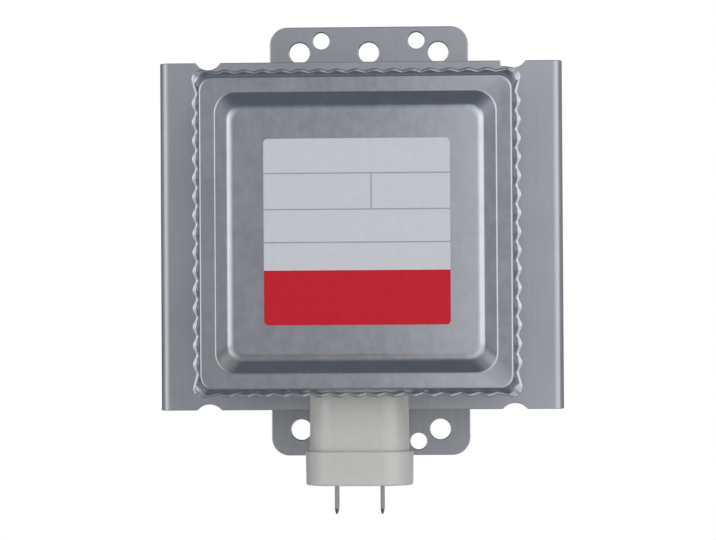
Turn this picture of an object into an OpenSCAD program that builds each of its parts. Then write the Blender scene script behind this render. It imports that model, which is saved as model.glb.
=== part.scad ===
// Microwave-oven magnetron with its filter box and terminals.
// In the finished part the antenna points along +Y, the filter lid faces -Y and the terminals point down.
// The modules draw in the tube frame: x to the right, y up, and z along the tube axis from the waveguide
// face of the mounting plate (z = 0) towards the filter lid, so the antenna lies at negative z.

/* [Mounting plate] */
// Thickness of the mounting plate
plate_t = 1.6; // [1.2:0.1:2.4]
// Height of the mounting plate beside its two ears
plate_h = 80; // [78:0.5:84]
// Width of the two mounting ears
ear_w = 50; // [48:0.5:60]
// Distance between the outer edges of the two ears
ear_span = 108; // [107:0.5:114]
// Corner radius of the ears
ear_r = 4.5; // [2:0.5:6]
// Pitch of the screw holes along an ear
screw_pitch_x = 35; // [34:0.5:38]
// Pitch of the screw holes from ear to ear
screw_pitch_y = 95; // [94:0.5:97]
// Diameter of the screw holes
screw_d = 5.2; // [4:0.1:5.6]
// Pitch of the pilot holes along an ear
pilot_pitch_x = 24; // [22:0.5:25]
// Pitch of the pilot holes from ear to ear
pilot_pitch_y = 101; // [100:0.5:102]
// Diameter of the pilot holes
pilot_d = 4.2; // [3:0.1:4.4]

/* [Yoke] */
// Width of the yoke across its two legs
yoke_w = 95; // [92:0.5:102]
// Height of the yoke along its open sides
yoke_h = 82; // [80:0.5:86]
// Thickness of the yoke sheet
yoke_t = 1.4; // [1:0.1:1.8]
// Outside radius of the two yoke bends
yoke_bend_r = 2.2; // [2:0.1:4]
// Clear height between the mounting plate and the yoke web
yoke_clear = 53; // [51:0.5:56]
// Distance of the edge notches from the centre line
notch_x = 36; // [35:0.5:40]
// Width of an edge notch at its mouth
notch_w = 5.8; // [5:0.1:6.4]
// Depth of the two upper edge notches
notch_depth = 1.7; // [1.5:0.1:2.4]
// Depth of the two lower edge notches
notch_low_depth = 1.4; // [0.8:0.1:2.4]
// Depth of the square corner of the upper right notch
notch_square = 1.3; // [0.8:0.1:1.4]
// Width of a leg tab that is staked into the mounting plate
tab_w = 10; // [6:0.5:14]
// Pitch of the two tabs on one leg
tab_pitch = 46; // [36:0.5:56]
// Diameter of the clinch collars that hold the filter box
clinch_d = 5; // [4:0.1:6]
// Pitch of the clinch collars
clinch_pitch = 44; // [40:0.5:48]
// Wall of a clinch collar
clinch_wall = 1.2; // [0.8:0.1:1.4]
// Overhang and height of the flared head of a clinch collar
clinch_flare = 0.6; // [0.4:0.1:0.9]

/* [Filter box] */
// Outside width of the square filter box
box_w = 70.2; // [69:0.1:72]
// Depth of the filter box from the yoke web to its rim
box_depth = 29.5; // [28:0.5:34]
// Thickness of the box sheet
box_t = 0.6; // [0.4:0.05:0.8]
// Outside corner radius of the filter box
box_r = 2.6; // [2.2:0.1:3.5]

/* [Filter lid] */
// Thickness of the lid sheet
lid_t = 0.5; // [0.4:0.05:0.8]
// Depth of the straight skirt of the lid, outside the box
lid_skirt = 2.6; // [2.2:0.1:4]
// Height of the lid platform over the rim of the box
lid_rise = 1.1; // [1:0.1:1.5]
// Radius of the platform edge
lid_edge_r = 0.6; // [0.6:0.1:1]
// Height of the flared hem below the skirt
hem_h = 2.4; // [1.6:0.1:3]
// Distance that the crests of the hem stand out from the skirt
hem_flare = 1.85; // [1.4:0.05:2.2]
// Depth of the scallops in the hem
hem_wave = 0.8; // [0.5:0.05:1]
// Pitch of the scallops
hem_pitch = 4.2; // [3.6:0.1:5]
// Plain length of the hem between the scallops and each corner
hem_plain = 0.6; // [0.4:0.1:4]
// Corner radius of the hem at its lip
hem_r = 2.4; // [1.2:0.1:3]
// Width of the relief slit at each corner of the hem
hem_slit = 0.7; // [0.5:0.1:1.2]
// Length of the relief slit
hem_slit_l = 1.1; // [0.8:0.1:1.6]
// Width of the raised panel at its foot
panel_foot_w = 63.8; // [62:0.1:65]
// Width of the raised panel at its top
panel_top_w = 57; // [55:0.1:58]
// Height of the raised panel over the platform
panel_h = 3; // [2:0.1:4]
// Corner radius of the raised panel at its foot
panel_r = 4.4; // [4:0.1:6]
// Corner radius of the raised panel at its top
panel_top_r = 3.2; // [2:0.1:4]
// Radius of the panel edge
panel_edge_r = 3; // [1:0.1:3.2]
// Width of the square label
label_w = 42.1; // [38:0.1:46]
// Distance of the label from the middle of the panel, to the right
label_x = 0.4; // [-4:0.1:4]
// Distance of the label from the middle of the panel, upwards
label_y = 0.1; // [-4:0.1:4]
// Thickness of the label
label_t = 0.12; // [0.1:0.01:0.2]
// Corner radius of the label
label_r = 1; // [0.5:0.1:3]

/* [Feedthrough] */
// Distance of the feedthrough axis from the yoke web
feed_z = 16; // [15:0.5:17]
// Pitch of the two terminals
terminal_pitch = 10.5; // [10:0.1:11.5]
// Half thickness of the case neck
neck_r = 6.2; // [5.8:0.1:6.4]
// Half thickness of the case head
head_r = 7.2; // [6.8:0.1:7.4]
// Length of the neck below the box wall
neck_l = 14.8; // [12:0.1:17]
// Length of the head
head_l = 7.9; // [6:0.1:9]
// Wall thickness of the case neck
case_t = 1; // [0.8:0.1:1.2]
// Depth of the open recess in the head
head_recess = 1.6; // [1:0.1:3]
// Width of a terminal tab
tab_blade_w = 6.35; // [4.8:0.05:6.4]
// Thickness of a terminal tab
tab_blade_t = 0.8; // [0.5:0.1:1]
// Length of a terminal tab outside the head
tab_blade_l = 6.6; // [6:0.1:9]
// Diameter of the hole in a terminal tab
tab_hole_d = 1.8; // [1.2:0.1:2.2]
// Diameter of the through conductors
conductor_d = 2.2; // [1.8:0.1:2.6]
// Thickness of the ground plate
ground_t = 0.8; // [0.6:0.1:1.2]
// Width of the ground plate along the box wall
ground_w = 33; // [31:0.5:36]
// Height of the ground plate along the tube axis
ground_h = 17; // [15:0.5:17]
// Thickness of the ceramic capacitor block
block_l = 9; // [7:0.5:11]
// Length of the inner insulator inside the box
inner_l = 11; // [9:0.5:12]
// Length of the conductors over the inner insulator
conductor_l = 2; // [1:0.5:3]
// Diameter of the rivets in the ground plate
rivet_d = 2.4; // [2:0.1:3]
// Diameter of the rivet heads
rivet_head_d = 4; // [3.6:0.1:4.6]
// Height of the rivet heads
rivet_head_t = 0.4; // [0.3:0.05:0.6]

/* [Chokes] */
// Diameter of the choke wire
wire_d = 1.4; // [1.2:0.1:1.6]
// Number of turns in a choke
choke_turns = 10; // [8:1:11]
// Length of a choke winding
choke_l = 24; // [22:0.5:26]
// Distance of the choke axis from the tube axis
choke_x = 17; // [16:0.5:22]
// Diameter of the ferrite core
core_d = 5; // [4:0.1:5.6]
// Length of the ferrite core
core_l = 26; // [24:0.5:30]

/* [Magnets] */
// Outside diameter of the ring magnets
magnet_d = 54; // [50:0.5:58]
// Bore of the ring magnets
magnet_bore = 20.6; // [20:0.1:23]
// Thickness of the ring magnets
magnet_t = 12.5; // [12:0.1:13]
// Chamfer of the ring magnets
magnet_edge = 0.6; // [0.3:0.1:1.2]

/* [Anode] */
// Outside diameter of the anode cylinder
anode_d = 39; // [38:0.1:42]
// Wall thickness of the anode cylinder
anode_t = 2; // [1.6:0.1:2.4]
// Number of vanes
vane_count = 10; // [8:2:12]
// Thickness of a vane
vane_t = 1.9; // [1.4:0.1:2]
// Height of a vane along the tube axis
vane_h = 9.5; // [8.5:0.1:10]
// Radius of the circle that the vane tips leave free
vane_tip_r = 4.6; // [4.5:0.1:5]
// Height of a strap ring
strap_h = 1.2; // [1:0.1:1.4]
// Thickness of a strap ring
strap_t = 0.8; // [0.6:0.05:0.9]
// Inside radius of the inner strap ring
strap_r = 6.2; // [6:0.1:6.4]
// Gap between the inner and the outer strap ring
strap_gap = 1.1; // [0.9:0.1:1.4]
// Thickness of the pole pieces
pole_t = 1.6; // [1.4:0.1:1.8]
// Gap between a pole piece and the vanes
pole_gap = 1.9; // [1.7:0.1:2.2]
// Radius of the hole in a pole piece
pole_hole_r = 4.7; // [4.5:0.1:5]
// Radius of the flat tip of a pole piece
pole_tip_r = 7; // [6.4:0.1:7.6]
// Radius at which the cone of a pole piece starts
pole_knee_r = 13; // [12:0.1:14]

/* [Cathode] */
// Radius of the end hats
hat_r = 3.6; // [3.5:0.1:4]
// Thickness of the end hats
hat_t = 1.4; // [1:0.1:1.5]
// Mean radius of the filament coil
filament_r = 1.9; // [1.8:0.1:2.2]
// Diameter of the filament wire
filament_d = 0.6; // [0.4:0.05:0.7]
// Number of filament turns
filament_turns = 8; // [6:1:10]
// Diameter of the cathode leads
lead_d = 1.2; // [1:0.1:1.3]
// Distance of each lead from the tube axis in the stem
lead_x = 2.8; // [2.7:0.1:2.9]
// Height of the stem seal over the yoke web
stem_seal_h = 7; // [5:0.5:9]
// Height of the stem ceramic over the yoke web
stem_h = 14; // [13:0.5:15]
// Length of the stem ceramic inside its seal
stem_seat = 2; // [1.5:0.1:3]
// Length of the leads over the stem ceramic
lead_l = 3; // [2:0.5:4]

/* [Antenna] */
// Thickness of the metal seal cups
seal_t = 0.5; // [0.4:0.05:0.7]
// Outside radius of the seal necks
seal_r = 9.6; // [9.4:0.1:9.8]
// Length of the antenna seal outside the plate
seal_l = 7; // [6.5:0.1:8]
// Distance from the plate at which the antenna seal starts to narrow
seal_neck_l = 3; // [2.5:0.1:4]
// Outside radius of the antenna ceramic
ceramic_r = 7.5; // [7.4:0.1:8]
// Length of the antenna ceramic
ceramic_l = 10.5; // [9:0.5:12]
// Wall thickness of the antenna ceramic
ceramic_t = 2.4; // [2:0.1:2.8]
// Length of the antenna ceramic inside its seal
ceramic_seat = 1.5; // [1:0.1:1.8]
// Distance of the antenna tip from the waveguide face
antenna_l = 29; // [28:0.5:33]
// Overhang of the antenna cap over the ceramic
cap_step = 0.2; // [0.1:0.05:0.3]
// Thickness of the antenna cap
cap_t = 0.5; // [0.4:0.05:0.8]
// Edge radius of the antenna cap
cap_edge_r = 1.5; // [1:0.1:2.5]
// Diameter of the antenna lead
antenna_lead_d = 2.4; // [2:0.1:2.6]
// Distance from the tube axis at which the antenna lead stands on its vane
lead_foot_r = 11; // [10.6:0.1:11.4]
// Outside radius of the exhaust tube
exhaust_r = 3.2; // [3:0.1:3.8]
// Wall thickness of the exhaust tube
exhaust_t = 0.6; // [0.4:0.1:0.8]
// Length of the exhaust tube
exhaust_l = 7; // [6:0.5:9]
// Outside radius of the mesh gasket
gasket_r = 16.5; // [15:0.5:17]
// Thickness of the mesh gasket
gasket_t = 5.2; // [4:0.1:5.8]
// Edge radius of the mesh gasket
gasket_edge_r = 1.7; // [1:0.1:1.9]

/* [Cooling fins] */
// Thickness of a cooling fin
fin_t = 0.6; // [0.4:0.05:0.8]
// Height of a cooling fin along the open sides of the yoke
fin_h = 76; // [70:0.5:79]
// Cut-off at each corner of a fin
fin_corner = 7; // [3:0.5:10]
// Height of the lips that touch the yoke legs
fin_lip = 3.4; // [2:0.1:3.6]
// Height of the collar round the anode
fin_collar = 2.6; // [1.5:0.1:3.2]
// Distance of the first and last fin from the ends of the anode
fin_margin = 2; // [1.5:0.1:2.6]

/* [Fits] */
// Gap of brazed, pressed and wrapped fits
fit = 0.05; // [0.02:0.01:0.08]
// Gap round a wire or conductor in its hole
clearance = 0.3; // [0.2:0.05:0.4]

/* [Hidden] */
$fn = 64;
fin_count = 6;
sides = [-1, 1];

// Stations along the tube axis
web_in_z = plate_t + yoke_clear;
web_out_z = web_in_z + yoke_t;
rim_z = web_out_z + box_depth;
middle_z = plate_t + yoke_clear / 2;
platform_z = rim_z + lid_rise;
panel_z = platform_z + panel_h;
skirt_z = platform_z - lid_skirt;
hem_z = skirt_z - hem_h;

// Anode stack: magnet, seal flange, anode, seal flange, magnet
anode_r = anode_d / 2;
anode_bore_r = anode_r - anode_t;
anode_l = yoke_clear - 2 * (magnet_t + seal_t);
anode_lo_z = middle_z - anode_l / 2;
anode_hi_z = middle_z + anode_l / 2;
vane_lo_z = middle_z - vane_h / 2;
vane_hi_z = middle_z + vane_h / 2;
pole_seat_r = anode_bore_r + anode_t / 2;
pole_h = (anode_l - vane_h) / 2 - pole_gap;
seal_flange_r = anode_r - fit;

// Strap rings lie in grooves in the vane edges, each on every second vane
strap_outer_r = strap_r + strap_t + strap_gap;
groove_w = 2 * strap_t + strap_gap + 2 * clearance;

// Lid skirt outside the box
lid_w = box_w + 2 * (fit + lid_t);
lid_r = box_r + fit + lid_t;
lid_points = 6;
slope_in = (panel_foot_w - panel_top_w) / 2;
slope_angle = atan2(panel_h, slope_in);

// Scallops of the hem between its plain corners
hem_run = lid_w - 2 * lid_r - 2 * hem_plain;
hem_count = round(hem_run / hem_pitch);
hem_step = hem_run / hem_count;
lip_half = lid_w / 2 + hem_flare;
scallop_points = 4;

// Feedthrough stations below the tube axis
feed_axis_z = web_out_z + feed_z;
wall_out_y = -box_w / 2;
wall_in_y = wall_out_y + box_t;
ground_in_y = wall_in_y + ground_t;
head_top_y = wall_out_y - neck_l;
head_end_y = head_top_y - head_l;
block_end_y = wall_in_y - block_l;
resin_end_y = head_end_y + head_recess;
inner_end_y = ground_in_y + inner_l;
conductor_end_y = inner_end_y + conductor_l;
terminal_x = terminal_pitch / 2;
cavity_r = neck_r - case_t;
rivet_x = (terminal_x + neck_r + ground_w / 2) / 2;

// Chokes beside the stem
wire_r = wire_d / 2;
core_r = core_d / 2;
stem_top_z = web_out_z + stem_h;
lead_top_z = stem_top_z + lead_l;
lead_r = lead_d / 2;
turn_points = 12;
winding_r = (core_r + wire_r + fit) / cos(180 / turn_points);

// Seals and antenna
seal_end_z = web_out_z + stem_seal_h;
seal_bore_r = seal_r - seal_t;
seal_hole_r = seal_r + clearance;
ceramic_lo_z = -seal_l + ceramic_seat;
ceramic_hi_z = ceramic_lo_z - ceramic_l;
exhaust_end_z = ceramic_hi_z - exhaust_l;
exhaust_bore_r = exhaust_r - exhaust_t;
antenna_lead_r = antenna_lead_d / 2;
cap_r = ceramic_r + cap_step;

// Cooling fins between the yoke legs
fin_w = yoke_w - 2 * yoke_t - 2 * fit;
fin_pitch = (anode_l - 2 * fin_margin - fin_t) / (fin_count - 1);
fin_bore_r = anode_r + fit;

vane_names = [for (i = [1:vane_count]) str("vane_", i)];
fin_names = [for (i = [1:fin_count]) str("cooling_fin_", i)];

// Flat outlines

module rounded_square(w, r) {
    square([w - 2 * r, w], center = true);
    square([w, w - 2 * r], center = true);
    for (x = sides, y = sides)
        translate([x * (w / 2 - r), y * (w / 2 - r)]) circle(r);
}

module stadium(half, r) {
    square([2 * half, 2 * r], center = true);
    for (x = sides) translate([x * half, 0]) circle(r);
}

function turned(points, a) = [for (p = points)
    [p.x * cos(a) - p.y * sin(a), p.x * sin(a) + p.y * cos(a)]];
function corner_arc(half, r, k) = [for (i = [0:k])
    (half - r) * [1, 1] + r * [cos(90 * i / k), sin(90 * i / k)]];
function square_outline(half, r, k) = [for (a = [0:90:270]) each turned(corner_arc(half, r, k), a)];

module ear_outline() {
    square([ear_w - 2 * ear_r, ear_span], center = true);
    square([ear_w, ear_span - 2 * ear_r], center = true);
    for (x = sides, y = sides)
        translate([x * (ear_w / 2 - ear_r), y * (ear_span / 2 - ear_r)]) circle(ear_r);
}

// Solid through a list of rings with the same number of points. It is capped at its two ends, or closed
// from the last ring to the first.

module loft(rings, closed = false) {
    k = len(rings[0]);
    n = len(rings);
    points = [for (ring = rings) each ring];
    walls = [for (i = [0:n - (closed ? 1 : 2)], j = [0:k - 1]) let (
        a = i * k,
        b = (i + 1) % n * k,
        next = (j + 1) % k)
        each [[a + j, b + j, b + next], [a + j, b + next, a + next]]];
    caps = [[for (j = [0:k - 1]) j], [for (j = [k - 1:-1:0]) (n - 1) * k + j]];
    polyhedron(points, closed ? walls : concat(walls, caps), convexity = 10);
}

// Swept wires: a tube of the given radius along a list of points

function unit(v) = v / norm(v);
function tangents(p) = [for (i = [0:len(p) - 1])
    unit(p[min(i + 1, len(p) - 1)] - p[max(i - 1, 0)])];
function carried(n, t) = unit(n - (n * t) * t);
function any_normal(t) = unit(cross(t, abs(t.z) < 0.9 ? [0, 0, 1] : [1, 0, 0]));
function normals(t) = [for (i = 0, n = any_normal(t[0]); i < len(t);
    i = i + 1, n = i < len(t) ? carried(n, t[i]) : n) n];
function ring_points(c, t, n, r, k) = [for (j = [0:k - 1])
    c + r * (cos(360 * j / k) * n + sin(360 * j / k) * cross(t, n))];

module swept_wire(path, r, k = 8) {
    t = tangents(path);
    n = normals(t);
    loft([for (i = [0:len(path) - 1]) ring_points(path[i], t[i], n[i], r, k)]);
}

// Mounting plate with its two ears

module mounting_plate() {
    color("lightslategray") linear_extrude(plate_t) difference() {
        union() {
            square([yoke_w, plate_h], center = true);
            ear_outline();
        }
        circle(seal_hole_r);
        for (y = sides) {
            translate([0, y * screw_pitch_y / 2]) circle(d = screw_d);
            for (x = sides) {
                translate([x * screw_pitch_x / 2, y * screw_pitch_y / 2]) circle(d = screw_d);
                translate([x * pilot_pitch_x / 2, y * pilot_pitch_y / 2]) circle(d = pilot_d);
            }
        }
        for (x = sides, y = sides)
            translate([x * (yoke_w - yoke_t) / 2, y * tab_pitch / 2])
                square([yoke_t + 2 * fit, tab_w + 2 * fit], center = true);
    }
}

// Folded yoke: a web behind the filter box and two legs to the mounting plate

module yoke_section() {
    leg_x = yoke_w / 2 - yoke_t;
    bend_z = web_out_z - yoke_bend_r;
    translate([-yoke_w / 2 + yoke_bend_r, web_in_z]) square([yoke_w - 2 * yoke_bend_r, yoke_t]);
    for (x = sides) scale([x, 1]) {
        translate([leg_x, plate_t]) square([yoke_t, bend_z - plate_t]);
        translate([yoke_w / 2 - yoke_bend_r, bend_z]) intersection() {
            difference() {
                circle(yoke_bend_r);
                circle(yoke_bend_r - yoke_t);
            }
            square(yoke_bend_r);
        }
    }
}

module edge_notch(depth) {
    r = notch_w * notch_w / (8 * depth) + depth / 2;
    translate([0, yoke_h / 2 + r - depth]) circle(r);
}

module clinch_collar() {
    bore_d = clinch_d - 2 * clinch_wall;
    difference() {
        union() {
            cylinder(d = clinch_d, h = box_t + clinch_flare);
            translate([0, 0, box_t]) cylinder(d = clinch_d + 2 * clinch_flare, h = clinch_flare);
        }
        translate([0, 0, -yoke_t]) cylinder(d = bore_d, h = yoke_t + box_t + 2 * clinch_flare);
    }
}

module clinch_places() {
    for (x = sides, y = sides)
        translate([x * clinch_pitch / 2, y * clinch_pitch / 2, web_out_z]) children();
}

module yoke_frame() {
    color("silver") {
        difference() {
            rotate([90, 0, 0]) linear_extrude(yoke_h, center = true) yoke_section();
            translate([0, 0, web_in_z - yoke_t]) linear_extrude(3 * yoke_t) {
                circle(seal_hole_r);
                for (x = sides) translate([x * notch_x, 0]) {
                    edge_notch(notch_depth);
                    mirror([0, 1]) edge_notch(notch_low_depth);
                }
                translate([notch_x - notch_w / 2 - fit, yoke_h / 2 - notch_square])
                    square([notch_w / 2, 2 * notch_depth]);
            }
            clinch_places() translate([0, 0, -2 * yoke_t])
                cylinder(d = clinch_d - 2 * clinch_wall, h = 3 * yoke_t);
        }
        for (x = sides, y = sides)
            translate([x * (yoke_w - yoke_t) / 2, y * tab_pitch / 2, plate_t / 2])
                cube([yoke_t, tab_w, plate_t], center = true);
        clinch_places() clinch_collar();
    }
}

// Drawn filter box, open towards the lid

module box_shell() {
    linear_extrude(box_t) rounded_square(box_w, box_r);
    linear_extrude(box_depth) difference() {
        rounded_square(box_w, box_r);
        rounded_square(box_w - 2 * box_t, box_r - box_t);
    }
}

module filter_box() {
    color("gainsboro") difference() {
        translate([0, 0, web_out_z]) box_shell();
        translate([0, 0, web_out_z - box_t]) cylinder(r = seal_hole_r, h = 3 * box_t);
        clinch_places() translate([0, 0, -box_t]) cylinder(d = clinch_d + 2 * fit, h = 3 * box_t);
        feedthrough_place(wall_out_y - box_t) {
            linear_extrude(3 * box_t) stadium(terminal_x, neck_r + fit);
            rivet_places() cylinder(d = rivet_d + 2 * fit, h = 3 * box_t);
        }
    }
}

// Lid pressed over the box, with a raised panel: rings down the inside of the sheet and up its outside

function lid_ring(half, r, z) = [for (p = square_outline(half, r, lid_points)) [p.x, p.y, z]];
function platform_edge(inset) = let (edge = max(lid_edge_r - inset, fit), half = lid_w / 2 - inset)
    [for (a = [0:30:90])
        lid_ring(half - edge * (1 - cos(a)), lid_r - inset, platform_z - inset - edge * (1 - sin(a)))];
function panel_edge(inset) = let (
    edge = panel_edge_r - inset,
    half = panel_top_w / 2 - (inset + edge) * tan(slope_angle / 2),
    r = panel_top_r - inset)
    [for (i = [3:-1:0]) let (a = slope_angle * i / 3)
        lid_ring(half + edge * sin(a), r, panel_z - inset - edge * (1 - cos(a)))];
function lid_rings(inset) = concat(
    [lid_ring(lid_w / 2 - inset, lid_r - inset, skirt_z)],
    platform_edge(inset),
    [lid_ring(panel_foot_w / 2 - inset * tan(slope_angle / 2), panel_r - inset, platform_z - inset)],
    panel_edge(inset));

module lid_sheet() {
    inside = lid_rings(lid_t);
    loft(concat([for (i = [len(inside) - 1:-1:0]) inside[i]], lid_rings(0)));
}

// Hem of the lid, flared out from the end of its skirt in scallops

function scallop(share, depth) = depth * (1 - sin(180 * share));
function hem_side(half, depth) = [for (i = [0:hem_count - 1], j = [0:scallop_points - 1])
    [half - scallop(j / scallop_points, depth), -hem_run / 2 + (i + j / scallop_points) * hem_step]];
function hem_outline(half, r, depth) = [for (a = [0:90:270])
    each turned(concat(hem_side(half, depth), [[half - depth, hem_run / 2]],
                       corner_arc(half, r, lid_points)), a)];
function hem_ring(half, r, depth, z) = [for (p = hem_outline(half, r, depth)) [p.x, p.y, z]];

module lid_hem() {
    foot = lid_w / 2 - fit;
    foot_r = lid_r - fit;
    foot_t = lid_t - 2 * fit;
    foot_z = skirt_z + lid_t;
    loft([hem_ring(foot - foot_t, foot_r - foot_t, 0, foot_z),
          hem_ring(lip_half - lid_t, hem_r - lid_t, hem_wave, hem_z),
          hem_ring(lip_half, hem_r, hem_wave, hem_z),
          hem_ring(foot, foot_r, 0, foot_z)], closed = true);
}

module filter_lid() {
    slit_x = (lip_half - hem_r) * sqrt(2) + hem_r - hem_slit_l;
    color("lightgray") difference() {
        union() {
            lid_sheet();
            lid_hem();
        }
        for (a = [45:90:315]) rotate(a)
            translate([slit_x, -hem_slit / 2, hem_z - hem_h]) cube([lid_w, hem_slit, 2 * hem_h]);
    }
}

module blank_label() {
    color("white") translate([label_x, label_y, panel_z])
        linear_extrude(label_t) rounded_square(label_w, label_r);
}

// Feedthrough capacitor in the lower wall of the filter box. Its children are drawn looking up
// from below, with their own z running along +y of the tube frame from the given height.

module feedthrough_place(y) {
    translate([0, y, feed_axis_z]) rotate([-90, 0, 0]) children();
}

module rivet_places() {
    for (x = sides) translate([x * rivet_x, 0, 0]) children();
}

module terminal_places() {
    for (x = sides) translate([x * terminal_x, 0, 0]) children();
}

module feedthrough_case() {
    color("ivory") feedthrough_place(head_end_y) difference() {
        union() {
            linear_extrude(head_l) stadium(terminal_x, head_r);
            linear_extrude(wall_in_y - head_end_y) stadium(terminal_x, neck_r);
        }
        translate([0, 0, -head_l]) linear_extrude(wall_in_y - head_end_y + 2 * head_l)
            stadium(terminal_x, cavity_r);
    }
}

module feedthrough_resin() {
    color("wheat") feedthrough_place(resin_end_y) linear_extrude(block_end_y - resin_end_y) difference() {
        stadium(terminal_x, cavity_r - fit);
        terminal_places() circle(d = conductor_d + 2 * fit);
    }
}

module capacitor_block() {
    color("tan") feedthrough_place(block_end_y) linear_extrude(block_l) difference() {
        stadium(terminal_x, cavity_r - fit);
        terminal_places() circle(d = conductor_d + 2 * clearance);
    }
}

module ground_plate() {
    color("silver") feedthrough_place(wall_in_y) linear_extrude(ground_t) difference() {
        square([ground_w, ground_h], center = true);
        terminal_places() circle(d = 2 * conductor_d);
        rivet_places() circle(d = rivet_d + 2 * fit);
    }
}

module ground_rivets() {
    shank_l = box_t + ground_t;
    color("silver") feedthrough_place(wall_out_y) rivet_places() {
        cylinder(d = rivet_d, h = shank_l);
        translate([0, 0, -rivet_head_t]) cylinder(d = rivet_head_d, h = rivet_head_t);
        translate([0, 0, shank_l]) cylinder(d = rivet_head_d, h = rivet_head_t);
    }
}

module inner_insulator() {
    color("ivory") feedthrough_place(ground_in_y) linear_extrude(inner_l) difference() {
        stadium(terminal_x, cavity_r - clearance);
        terminal_places() circle(d = conductor_d + 2 * fit);
    }
}

module blade_outline() {
    blade_l = tab_blade_l + head_recess;
    half = tab_blade_w / 2;
    point = tab_blade_w / 5;
    difference() {
        polygon([[0, -half], [blade_l - point, -half], [blade_l, point - half],
                 [blade_l, half - point], [blade_l - point, half], [0, half]]);
        translate([blade_l - half, 0]) circle(d = tab_hole_d);
    }
}

module terminal(x) {
    color("lightsteelblue") translate([x, 0, 0]) feedthrough_place(resin_end_y) {
        cylinder(d = conductor_d, h = conductor_end_y - resin_end_y);
        rotate([0, 90, 0]) linear_extrude(tab_blade_t, center = true) blade_outline();
    }
}

// Chokes: each wire runs from a cathode lead through its winding to a terminal conductor

function winding(share) = let (a = 90 - 360 * (choke_turns + 0.5) * share)
    [choke_x + winding_r * cos(a), choke_l * (0.5 - share), feed_axis_z + winding_r * sin(a)];
function choke_start() = let (z = lead_top_z + wire_r + fit) [
    [lead_x - lead_r, 0, z],
    [lead_x + lead_r, wire_r, z],
    [choke_x / 2, choke_l / 4, (z + feed_axis_z + winding_r) / 2],
    [choke_x - winding_r, choke_l / 2, feed_axis_z + winding_r]];
function choke_end() = [
    [choke_x - winding_r, -choke_l / 2, feed_axis_z - winding_r],
    [(choke_x + terminal_x) / 2, (conductor_end_y - choke_l / 2) / 2, feed_axis_z - winding_r / 2],
    [terminal_x, conductor_end_y + 2 * wire_d, feed_axis_z],
    [terminal_x, conductor_end_y + fit, feed_axis_z]];
function choke_path() = let (n = (choke_turns + 0.5) * turn_points)
    concat(choke_start(), [for (i = [0:n]) winding(i / n)], choke_end());

module choke_coil(side) {
    color("darkorange") swept_wire([for (p = choke_path()) [side * p.x, p.y, p.z]], wire_r);
}

module choke_core(side) {
    color("dimgray") translate([side * choke_x, core_l / 2, feed_axis_z])
        rotate([90, 0, 0]) cylinder(d = core_d, h = core_l);
}

// Cathode: stem, leads, end hats and filament

module stem_ceramic() {
    length = stem_top_z - seal_end_z + stem_seat;
    color("white") translate([0, 0, seal_end_z - stem_seat]) linear_extrude(length) difference() {
        circle(seal_bore_r - fit);
        for (x = sides) translate([x * lead_x, 0]) circle(lead_r + fit);
    }
}

module stem_seal() {
    color("lightgray") rotate_extrude() polygon([
        [seal_bore_r, anode_hi_z], [seal_flange_r, anode_hi_z], [seal_flange_r, anode_hi_z + seal_t],
        [seal_r, anode_hi_z + seal_t], [seal_r, seal_end_z], [seal_bore_r, seal_end_z]]);
}

module center_lead() {
    start_z = vane_lo_z - hat_t;
    bend_z = anode_hi_z + magnet_t / 2;
    color("slategray") swept_wire([
        [0, 0, start_z], [0, 0, middle_z], [0, 0, anode_hi_z], [0, 0, bend_z],
        [-lead_x / 2, 0, bend_z + lead_x], [-lead_x, 0, bend_z + 2 * lead_x],
        [-lead_x, 0, seal_end_z - stem_seat], [-lead_x, 0, lead_top_z]], lead_r);
}

module side_lead() {
    start_z = vane_hi_z + hat_t;
    color("slategray") translate([lead_x, 0, start_z]) cylinder(r = lead_r, h = lead_top_z - start_z);
}

module filament() {
    wire = filament_d / 2;
    rise = vane_h - 2 * wire - 2 * fit;
    n = filament_turns * turn_points;
    color("dimgray") swept_wire([for (i = [0:n])
        [filament_r * cos(360 * i / turn_points), filament_r * sin(360 * i / turn_points),
         vane_lo_z + wire + fit + rise * i / n]], wire, 6);
}

module end_hat(z, hole_r) {
    color("gray") translate([0, 0, z]) linear_extrude(hat_t) difference() {
        circle(hat_r);
        circle(hole_r);
    }
}

module end_hat_antenna() { end_hat(vane_lo_z - hat_t, lead_r + fit); }
module end_hat_stem() { end_hat(vane_hi_z, lead_r + clearance); }

// Anode: cylinder, vanes, straps, pole pieces and magnets

module anode_cylinder() {
    color("chocolate") rotate_extrude() polygon([
        [anode_bore_r, anode_lo_z + pole_t], [pole_seat_r, anode_lo_z + pole_t], [pole_seat_r, anode_lo_z],
        [anode_r, anode_lo_z], [anode_r, anode_hi_z],
        [pole_seat_r, anode_hi_z], [pole_seat_r, anode_hi_z - pole_t], [anode_bore_r, anode_hi_z - pole_t]]);
}

module strap_groove(inner_touches) {
    free_r = inner_touches ? strap_outer_r : strap_r;
    translate([strap_r - clearance, -vane_t, -strap_h])
        cube([groove_w, 2 * vane_t, 2 * strap_h]);
    translate([free_r - clearance, -vane_t, -strap_h - clearance])
        cube([strap_t + 2 * clearance, 2 * vane_t, 2 * strap_h]);
}

module vane(i) {
    inner_on_stem_side = i % 2 == 0;
    color("peru") rotate(360 * i / vane_count) difference() {
        intersection() {
            translate([vane_tip_r, -vane_t / 2, vane_lo_z]) cube([anode_r, vane_t, vane_h]);
            translate([0, 0, vane_lo_z - vane_h]) cylinder(r = anode_bore_r - fit, h = 3 * vane_h);
        }
        translate([0, 0, vane_hi_z]) strap_groove(inner_on_stem_side);
        translate([0, 0, vane_lo_z]) mirror([0, 0, 1]) strap_groove(!inner_on_stem_side);
    }
}

module strap(r, z) {
    color("chocolate") translate([0, 0, z]) linear_extrude(strap_h) difference() {
        circle(r + strap_t);
        circle(r);
    }
}

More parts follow.
